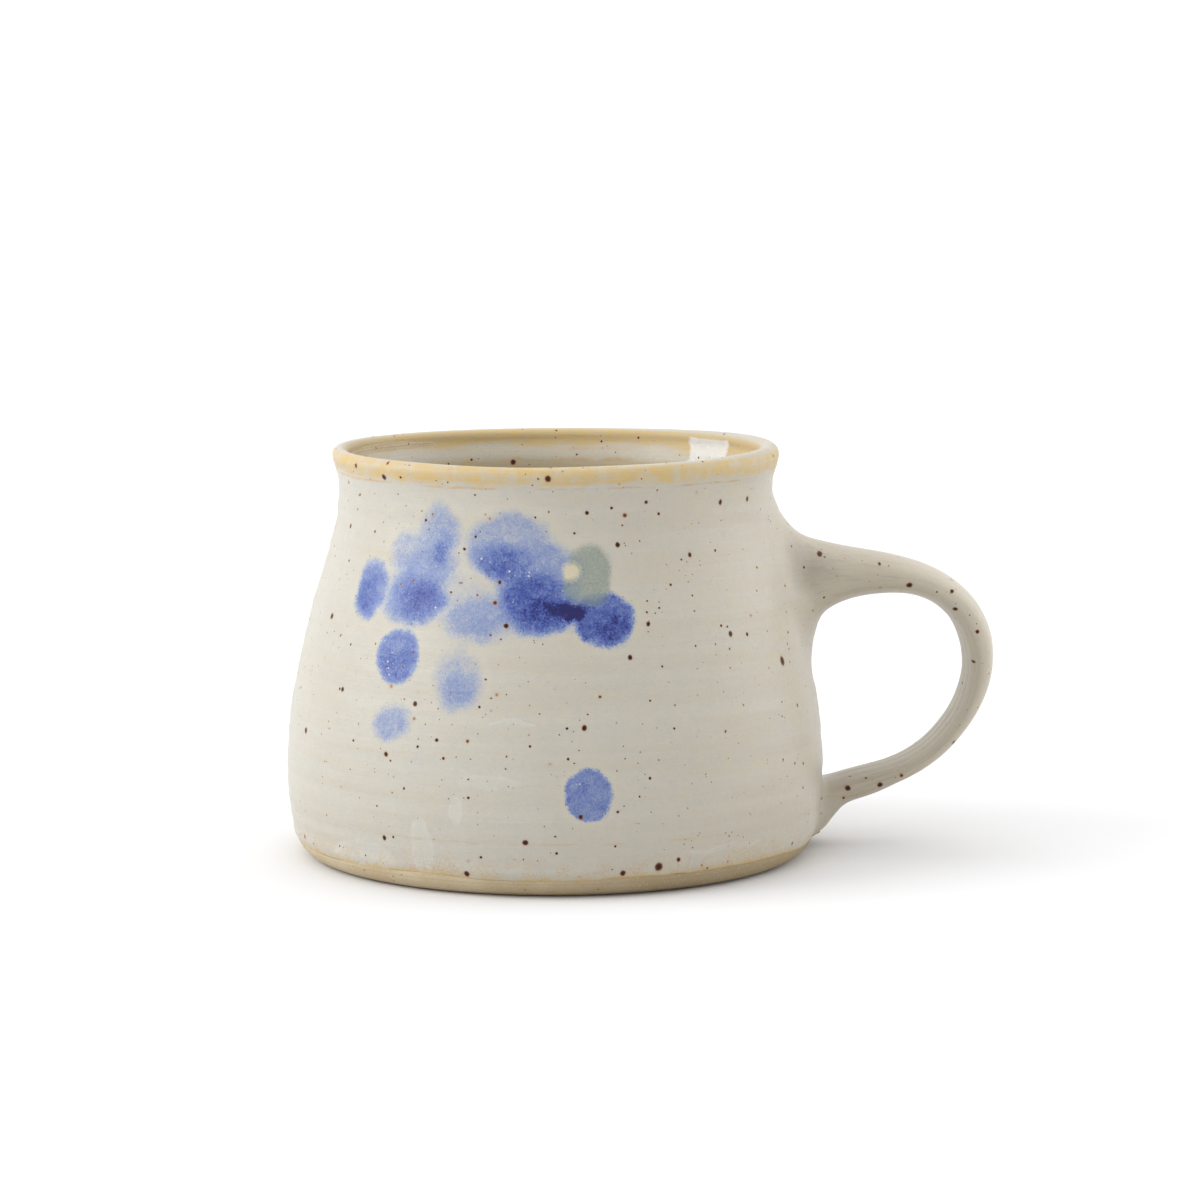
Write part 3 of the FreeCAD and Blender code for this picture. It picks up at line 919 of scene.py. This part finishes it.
class Shader:
    """A short way to write a node material. Its coordinates are the object's own, in millimetres."""

    def __init__(self, name):
        self.material = bpy.data.materials.new(name)
        self.material.use_nodes = True
        self.tree = self.material.node_tree
        self.tree.nodes.clear()
        own = self.node("TexCoord").outputs["Object"]
        self.place = self.vector("SCALE", own, scale=1 / MM)
        self.x, self.y, self.z = self.node("SeparateXYZ", {0: self.place}).outputs

    def node(self, kind, inputs=(), **settings):
        made = self.tree.nodes.new("ShaderNode" + kind)
        for key, value in settings.items():
            setattr(made, key, value)
        for key, value in dict(inputs).items():
            if isinstance(value, bpy.types.NodeSocket):
                self.tree.links.new(value, made.inputs[key])
            else:
                made.inputs[key].default_value = value
        return made

    def math(self, operation, *values):
        return self.node("Math", enumerate(values), operation=operation).outputs[0]

    def times(self, a, b):
        return self.math("MULTIPLY", a, b)

    def plus(self, a, b):
        return self.math("ADD", a, b)

    def minus(self, a, b):
        return self.math("SUBTRACT", a, b)

    def least(self, a, b):
        return self.math("MINIMUM", a, b)

    def scaled(self, value, factor, offset):
        """The value times a factor, plus an offset."""
        return self.math("MULTIPLY_ADD", value, factor, offset)

    def vector(self, operation, *values, scale=None):
        inputs = dict(enumerate(values))
        if scale is not None:
            inputs["Scale"] = scale
        made = self.node("VectorMath", inputs, operation=operation)
        return made.outputs["Value" if operation in ("LENGTH", "DISTANCE") else "Vector"]

    def stretched(self, *factors, place=None):
        return self.vector("MULTIPLY", place or self.place, factors)

    def step(self, low, high, value, top=1.0):
        """Rises smoothly from 0 at low to top at high, or falls where low is the greater."""
        inputs = {"Value": value, "From Min": low, "From Max": high, "To Max": top}
        return self.node("MapRange", inputs, interpolation_type="SMOOTHSTEP").outputs[0]

    def noise(self, scale, place=None, detail=2.0, rough=0.5, distortion=0.0, colour=False):
        inputs = {"Vector": place or self.place, "Scale": scale, "Detail": detail}
        inputs.update({"Roughness": rough, "Distortion": distortion})
        return self.node("TexNoise", inputs).outputs[1 if colour else 0]

    def mix(self, factor, a, b, blend="MIX"):
        return self.node("Mix", {0: factor, 6: a, 7: b}, data_type="RGBA", blend_type=blend).outputs[2]

    def coat(self, share, colour):
        """Lays another colour over the material's colour so far."""
        self.colour = self.mix(share, self.colour, colour)

    def warped(self, place, *layers):
        """The coordinates pushed about by layers of noise, each a scale and an amplitude in millimetres."""
        for scale, amplitude in layers:
            push = self.vector("SUBTRACT", self.noise(scale, colour=True), (0.5, 0.5, 0.5))
            place = self.vector("ADD", place, self.vector("SCALE", push, scale=2 * amplitude))
        return place

    def oval(self, place, azimuth, height, half_width, half_height, depth=16.0):
        """How far out a point is in an oval on the cup's outer wall, as a share of its half size."""
        turn = math.radians(azimuth)
        radius = float(skin_at_height(height)[0])
        centre = (radius * math.cos(turn), radius * math.sin(turn), height)
        inputs = {"Vector": place, "Location": centre, "Rotation": (0, 0, turn)}
        inputs["Scale"] = (depth, half_width, half_height)
        return self.vector("LENGTH", self.node("Mapping", inputs, vector_type="TEXTURE").outputs[0])

    def specks(self, place, cell, radius, share):
        """Distance from the nearest iron speck of one size, in that speck's own radius."""
        cells = self.node("TexVoronoi", {"Vector": place, "Scale": 1 / cell})
        luck = self.node("SeparateColor", {0: cells.outputs["Color"]}).outputs[0]
        inputs = {"Value": luck, "From Min": 1 - share, "From Max": 1.0}
        inputs.update({"To Min": 0.001, "To Max": radius / cell})
        size = self.node("MapRange", inputs).outputs[0]
        return self.math("DIVIDE", cells.outputs["Distance"], size)

    def speckle(self, nearest, strength=1.0):
        """Iron specks in the colour so far: a faint stain, a rusty rim, then a brown to black core."""
        self.coat(self.step(1.9, 0.9, nearest, 0.14 * strength), SPECK_RUST)
        self.coat(self.step(1.2, 1.0, nearest, 0.75 * strength), SPECK_RUST)
        core = self.mix(self.step(0.75, 0.35, nearest), SPECK_BROWN, SPECK_BLACK)
        self.coat(self.step(1.0, 0.8, nearest, strength), core)

    def finish(self, roughness, height, relief):
        """Ends the tree in one surface. relief is how many millimetres the height's range stands for."""
        bump = self.node("Bump", {"Strength": 1.0, "Distance": relief * MM, "Height": height})
        inputs = {"Base Color": self.colour, "Roughness": roughness, "Normal": bump.outputs[0]}
        inputs["Specular IOR Level"] = SPECULAR
        surface = self.node("BsdfPrincipled", inputs)
        self.node("OutputMaterial", {"Surface": surface.outputs[0]})
        return self.material


def cobalt(s, place, grain):
    """Lays the cobalt splashes over the glaze, with pale halos. Returns how dense the blue is."""
    density, reach = None, None
    for azimuth, height, half_width, half_height, strength, softness in SPLASHES:
        out = s.oval(place, azimuth, height, half_width, half_height)
        here = s.step(1 + softness, 1 - softness, out, strength)
        density = here if density is None else s.math("SMOOTH_MAX", density, here, 0.2)
        reach = out if reach is None else s.least(reach, out)
    for azimuth, height, half_width, half_height, strength, softness in POOLS:
        out = s.oval(place, azimuth, height, half_width, half_height)
        density = s.plus(density, s.step(1 + softness, 1 - softness, out, strength))
    veins = s.noise(0.55, place, detail=5, rough=0.62, distortion=1.2)
    mottle = s.scaled(grain, 1.1, s.times(veins, 1.2))
    density = s.times(density, s.minus(mottle, 0.13))
    halo = s.times(s.step(1.45, 1.1, reach), s.step(0.9, 1.1, reach))
    halo = s.times(halo, s.step(0.35, 0.65, veins, 0.6))
    s.coat(halo, HALO)
    ramp = s.node("ValToRGB", {0: density})
    ramp.color_ramp.interpolation = "B_SPLINE"
    elements = ramp.color_ramp.elements
    while len(elements) < len(COBALT):
        elements.new(0.5)
    for element, (position, blue) in zip(elements, COBALT):
        element.position, element.color = position, blue
    s.coat(s.step(0.02, 0.34, density, 0.97), ramp.outputs[0])
    return density


def oatmeal_glaze():
    s = Shader("oatmeal_glaze")
    r = s.vector("LENGTH", s.stretched(1, 1, 0))
    azimuth = s.math("ARCTAN2", s.y, s.x)
    share = s.node("Attribute", attribute_name="strap_share").outputs["Fac"]
    run = s.node("Attribute", attribute_name="strap_run").outputs["Vector"]
    cloud = s.noise(0.05, detail=3)
    band = s.noise(1.0, s.stretched(0.03, 0.03, 0.5), detail=4, rough=0.6)
    scratch = s.noise(1.0, s.stretched(0.05, 0.05, 3.0), detail=3, rough=0.6)
    pull = s.noise(1.0, s.stretched(0.05, 1.1, 1.6, place=run), detail=3, rough=0.6)
    grain = s.noise(2.6, detail=3, rough=0.65)
    patch = s.noise(0.32, detail=4, rough=0.6)

    # The body: warm grey, tanner towards the handle, clouded, with faint throwing bands. The strap is darker,
    # with painted light making its outer bend paler, and painted shade, brown and partly thicker glaze,
    # beside its upper root.
    s.colour = s.mix(s.step(0.35, 0.65, cloud, 0.6), OATMEAL, OATMEAL_PALE)
    s.coat(s.step(-25, 60, s.x, 0.65), OATMEAL_TAN)
    s.coat(s.step(0.48, 0.68, band, 0.3), OATMEAL_TAN)
    s.coat(s.step(0.52, 0.36, band, 0.35), OATMEAL_PALE)
    s.coat(s.step(0.6, 0.72, scratch, 0.22), MILK)
    s.coat(s.times(share, 0.75), STRAP_GREY)
    s.coat(s.times(share, s.step(0.48, 0.7, pull, 0.32)), STRAP_DARK)
    # Painted light: the strap is painted paler towards its outer bend, where the lamps leave it too dark
    s.coat(s.step(62, 84, s.x, 0.85), STRAP_PAINTED_LIGHT)
    s.coat(s.step(0.5, 0.75, grain, 0.16), OCHRE_PALE)
    # Painted shade: a brown darkening in the crease beside the strap's upper root, partly thicker glaze
    root = s.oval(s.warped(s.place, (0.25, 1.5)), *ROOT_PAINTED_SHADE, depth=9.0)
    s.coat(s.step(1.35, 0.2, root, 0.85), STRAP_DARK)

    # Milky runs where the glaze lies thicker
    soft = s.warped(s.place, (0.25, 1.2), (1.2, 0.3))
    for *shape, strength in MILKY:
        out = s.oval(soft, *shape)
        rim = s.times(s.step(1.3, 1.05, out), s.step(0.7, 1.0, out, 0.5))
        veil = s.times(s.plus(s.step(1.4, 0.7, out, 0.6), rim), strength)
        s.coat(veil, MILK)

    # Ochre where the glaze lies thin: over the lip, in lines on both sides of it, and along the glaze line
    wander = s.noise(1.0, s.stretched(0.09, 0.09, 0.3), detail=4, rough=0.6)
    level = s.plus(s.z, s.scaled(wander, 5.0, -2.5))
    inside = s.times(s.step(42.3, 41.6, r), s.step(65, 70, s.z))
    blotch = s.plus(s.step(0.34, 0.6, patch, 0.55), s.step(0.4, 0.6, scratch, 0.3))
    blotch = s.math("MAXIMUM", blotch, s.times(inside, 0.62))
    lip = s.times(s.step(76.8, 78.4, level), s.plus(blotch, 0.22))
    s.coat(s.times(lip, s.step(81.05, 80.6, s.z)), OCHRE)
    streaky = s.step(0.42, 0.62, s.noise(1.0, s.stretched(0.11, 0.11, 0.0), detail=3, rough=0.7))
    fine_level = s.plus(s.z, s.scaled(wander, 1.4, -0.7))
    for height, half, strength, where in OCHRE_LINES:
        off = s.math("ABSOLUTE", s.minus(fine_level, height))
        line = s.times(s.step(half, half * 0.3, off, strength), streaky)
        place = inside if where == "inside" else s.minus(1.0, inside)
        s.coat(s.times(line, place), OCHRE_DEEP)
    pale_band = s.times(s.step(77.6, 76.6, level), s.step(74.6, 75.4, fine_level))
    pale_band = s.times(pale_band, s.step(-37, -30, s.x, 0.6))
    s.coat(s.times(pale_band, inside), LINER_PALE)
    flank = s.times(inside, s.step(-30, -38, s.x, 0.65))
    s.coat(flank, INNER_TAN)
    under = s.times(s.step(75.2, 74.4, fine_level, 0.7), inside)
    s.coat(under, INNER_TAN)
    # Painted reflection: a bright band on the inside wall below the lip, where the key lamp is mirrored
    side = s.math("ABSOLUTE", s.minus(s.scaled(wander, 0.12, azimuth), PAINTED_REFLECTION_AZIMUTH))
    painted_reflection = s.times(s.step(0.16, 0.14, side), s.step(73.4, 73.9, s.z))
    painted_reflection = s.times(painted_reflection, s.times(inside, s.step(80.3, 79.8, fine_level)))
    s.coat(painted_reflection, REFLECTION_WHITE)
    turns = [(GLAZE_LINE_TILT, 1, GLAZE_LINE_TURN + math.pi / 2)]
    turns += [(-size, rate, phase) for size, rate, phase in GLAZE_LINE_WANDER]
    over = s.minus(s.z, GLAZE_LINE)
    for size, rate, phase in turns:
        over = s.scaled(s.math("SINE", s.scaled(azimuth, rate, phase)), size, over)
    over = s.plus(over, s.step(*GLAZE_TAIL[::-1], s.math("ABSOLUTE", azimuth), GLAZE_TAIL_DROP))
    s.coat(s.times(s.step(1.1, 0.2, over), s.step(0.3, 0.5, patch, 0.8)), OCHRE)
    stain = s.times(s.step(0.44, 0.58, patch), s.step(0.42, 0.6, grain))
    s.coat(s.times(s.step(6.0, 0.6, over, 0.6), stain), OCHRE_DEEP)

    # Cobalt
    soaked = s.warped(s.place, (0.14, 1.8), (0.6, 0.5), (2.8, 0.75))
    density = cobalt(s, soaked, grain)
    green = s.oval(soaked, *GREEN_PATCH)
    cover = s.times(s.step(1.15, 0.8, green, 0.8), s.scaled(grain, 0.9, 0.45))
    s.coat(cover, GREEN)
    s.coat(s.step(1.35, 0.5, s.oval(soaked, *PALE_SPOT), 0.85), HALO)
    # Painted glints: white dots in the denser blue, where crystals catch the light
    glint_cells = s.node("TexVoronoi", {"Vector": s.place, "Scale": 0.9})
    painted_glints = s.step(0.26, 0.12, glint_cells.outputs["Distance"])
    painted_glints = s.times(painted_glints, s.step(0.56, 0.62, s.noise(0.16, detail=1)))
    s.coat(s.times(painted_glints, s.step(0.3, 0.5, density, 0.8)), MILK)

    # Iron specks, scattered, and the largest ones where they are
    ragged = s.warped(s.place, (1.4, 0.14))
    pits = s.specks(ragged, 5.0, 0.62, 0.75)
    nearest = pits
    for cell, radius, chance in SPECK_SIZES:
        nearest = s.least(nearest, s.specks(ragged, cell, radius, chance))
    for turn, height, radius in LARGE_SPECKS:
        out = s.oval(ragged, turn, height, radius, radius * 1.1, depth=radius * 2)
        nearest = s.least(nearest, out)
    for across, height, radius in STRAP_SPECKS:
        inputs = {"Vector": ragged, "Location": (across, -8.0, height), "Scale": (radius * 1.1, 5.0, radius)}
        out = s.vector("LENGTH", s.node("Mapping", inputs, vector_type="TEXTURE").outputs[0])
        nearest = s.least(nearest, out)
    s.speckle(nearest)

    # Relief: orange peel, the throwing and pulling lines, and pitted specks. The blue is a little glossier.
    height = s.scaled(s.noise(0.9, detail=3, rough=0.55), 0.55, s.times(grain, 0.12))
    wall_share = s.minus(1.0, share)
    height = s.plus(height, s.times(wall_share, s.scaled(band, 0.9, s.times(scratch, 0.2))))
    height = s.plus(height, s.times(share, s.times(pull, 0.6)))
    height = s.minus(height, s.step(1.2, 0.4, pits, 0.35))
    roughness = s.scaled(s.noise(0.5, detail=3), 0.16, 0.30)
    roughness = s.plus(roughness, s.times(lip, 0.15))
    roughness = s.minus(roughness, s.times(density, 0.06))
    return s.finish(roughness, height, GLAZE_RELIEF)


def liner_glaze_finish():
    s = Shader("liner_glaze")
    cloud = s.noise(0.06, detail=3)
    band = s.noise(1.0, s.stretched(0.04, 0.04, 0.6), detail=4, rough=0.6)
    grain = s.noise(2.4, detail=3, rough=0.65)
    r = s.vector("LENGTH", s.stretched(1, 1, 0))
    ringed = s.node("CombineXYZ", {0: s.times(r, 0.7), 2: s.times(s.z, 0.2)}).outputs[0]
    rings = s.noise(1.0, ringed)
    s.colour = s.mix(s.step(0.35, 0.65, cloud), LINER, LINER_PALE)
    s.coat(s.step(0.5, 0.7, band, 0.4), INNER_TAN)
    s.coat(s.step(0.55, 0.7, rings, 0.3), OCHRE)
    s.coat(s.step(69.4, 70.8, s.plus(s.z, s.step(0.3, 0.7, band)), 0.5), OCHRE)
    s.coat(s.step(0.5, 0.75, grain, 0.2), OCHRE_PALE)
    ragged = s.warped(s.place, (1.4, 0.14))
    nearest = s.specks(ragged, 5.0, 0.6, 0.8)
    for cell, radius, chance in SPECK_SIZES:
        nearest = s.least(nearest, s.specks(ragged, cell, radius, chance))
    s.speckle(nearest)
    height = s.scaled(s.noise(0.9, detail=3, rough=0.55), 0.6, s.times(band, 0.8))
    height = s.minus(height, s.step(1.2, 0.4, nearest, 0.35))
    return s.finish(s.scaled(s.noise(0.4, detail=3), 0.14, 0.24), height, GLAZE_RELIEF)


def bare_clay(name, base, pale, dark, grit):
    """Unglazed stoneware with grog and iron in it, finely lined by turning, with painted shade on the side
    towards the strap.
    """
    s = Shader(name)
    cloud = s.noise(0.09, detail=4, rough=0.6)
    r = s.vector("LENGTH", s.stretched(1, 1, 0))
    rings = s.node("CombineXYZ", {0: s.times(r, 1.6), 2: s.times(s.z, 1.9)}).outputs[0]
    lines = s.noise(1.0, rings, detail=4, rough=0.65)
    sand = s.noise(3.2, detail=4, rough=0.7)
    s.colour = s.mix(s.step(0.32, 0.68, cloud), base, pale)
    # Painted shade: the side towards the strap, away from the key lamp, is painted darker
    s.coat(s.step(-25, 25, s.x, 0.6), dark)
    s.coat(s.step(0.45, 0.7, lines, 0.45), dark)
    s.coat(s.step(0.52, 0.72, sand, 0.5), dark)
    grog = s.node("TexVoronoi", {"Vector": s.warped(s.place, (2.0, 0.12)), "Scale": 1.1})
    s.coat(s.step(0.22, 0.14, grog.outputs["Distance"], 0.5), pale)
    nearest = s.least(s.specks(s.place, 4.5, 0.4, 0.7), s.specks(s.place, 1.8, 0.2, 0.8))
    s.speckle(nearest, strength=0.85)
    height = s.scaled(sand, grit, s.times(lines, 0.7))
    height = s.scaled(s.step(0.24, 0.12, grog.outputs["Distance"]), 0.3, height)
    return s.finish(s.scaled(sand, 0.14, 0.72), height, 0.14)


def studio_floor():
    s = Shader("studio_floor")
    r = s.vector("LENGTH", s.place)
    s.colour = s.mix(s.noise(0.006, detail=3), *FLOOR_NEAR)
    s.coat(s.step(300, 2500, r), FLOOR_FAR)
    roughness = s.scaled(s.noise(0.02, detail=2), 0.06, 0.86)
    return s.finish(roughness, s.noise(0.3, detail=3), 0.02)


def dress(obj, material):
    """Gives every slot of an object the material."""
    if not obj.data.materials:
        obj.data.materials.append(material)
    for holder in obj.material_slots:
        holder.link = "OBJECT"
        holder.material = material


clay_finish = bare_clay("stoneware_clay", CLAY, CLAY_PALE, CLAY_DARK, 0.9)
slip_finish = bare_clay("joining_slip", SLIP, CLAY_PALE, CLAY, 0.4)
dress(glaze, oatmeal_glaze())
dress(liner, liner_glaze_finish())
dress(cup, clay_finish)
dress(strap, clay_finish)
dress(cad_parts["upper_slip"], slip_finish)
dress(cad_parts["lower_slip"], slip_finish)
dress(floor, studio_floor())

# -----------------------------------------------------------------------------
# Light and camera
# -----------------------------------------------------------------------------


# The room's brightness in front, behind, and what it gains overhead; then two lamps, in watts and metres
ROOM_FRONT = 0.70
ROOM_BACK = 1.18
ROOM_TOP = 0.38
KEY_POWER = 13.4
KEY_PLACE = (-1.3, -0.15, 0.8)
FILL_POWER = 4.8
FILL_PLACE = (1.3, 0.15, 0.6)
LAMP_SIDE = 1.0
LAMP_AIM = (0, 0, 0.04)

# The camera, in metres and degrees: it looks a little down, and a little to the right
CAMERA_PLACE = (-0.0726, -0.7767, 0.1515)
CAMERA_DOWN = 7.4
CAMERA_RIGHT = 6.0
CAMERA_LENS = 118.5
CAMERA_SENSOR = 36
CAMERA_REACH = 20


def area_light(name, place, power):
    """A square lamp aimed at the mug."""
    light = bpy.data.lights.new(name, "AREA")
    light.shape = "RECTANGLE"
    light.size = light.size_y = LAMP_SIDE
    light.energy = power
    obj = bpy.data.objects.new(name, light)
    bpy.context.scene.collection.objects.link(obj)
    obj.location = place
    direction = Vector(LAMP_AIM) - Vector(place)
    obj.rotation_euler = direction.to_track_quat("-Z", "Y").to_euler()


def graded(tree, value, low, high, bottom, top, interpolation="LINEAR"):
    """Runs from bottom to top as the value goes from low to high."""
    shade = tree.nodes.new("ShaderNodeMapRange")
    shade.interpolation_type = interpolation
    tree.links.new(value, shade.inputs["Value"])
    for key, number in {"From Min": low, "From Max": high, "To Min": bottom, "To Max": top}.items():
        shade.inputs[key].default_value = number
    return shade.outputs[0]


def room():
    """A pale room: darker on the side that the mug faces, brighter overhead."""
    world = bpy.data.worlds.new("studio")
    bpy.context.scene.world = world
    world.use_nodes = True
    tree = world.node_tree
    background = tree.nodes["Background"]
    direction = tree.nodes.new("ShaderNodeTexCoord").outputs["Generated"]
    split = tree.nodes.new("ShaderNodeSeparateXYZ")
    tree.links.new(direction, split.inputs[0])
    around = graded(tree, split.outputs["Y"], -0.9, 0.3, ROOM_FRONT, ROOM_BACK)
    overhead = graded(tree, split.outputs["Z"], 0.35, 1.0, 0.0, ROOM_TOP, "SMOOTHSTEP")
    total = tree.nodes.new("ShaderNodeMath")
    tree.links.new(around, total.inputs[0])
    tree.links.new(overhead, total.inputs[1])
    tree.links.new(total.outputs[0], background.inputs["Strength"])
    background.inputs["Color"].default_value = (1, 1, 1, 1)


def light_and_camera():
    scene = bpy.context.scene
    scene.view_settings.view_transform = "Standard"
    room()
    area_light("key", KEY_PLACE, KEY_POWER)
    area_light("fill", FILL_PLACE, FILL_POWER)
    camera = bpy.data.cameras.new("camera")
    camera.lens = CAMERA_LENS
    camera.sensor_width = CAMERA_SENSOR
    camera.clip_end = CAMERA_REACH
    obj = bpy.data.objects.new("camera", camera)
    scene.collection.objects.link(obj)
    obj.location = CAMERA_PLACE
    obj.rotation_euler = (math.radians(90 - CAMERA_DOWN), 0, math.radians(-CAMERA_RIGHT))
    scene.camera = obj


light_and_camera()
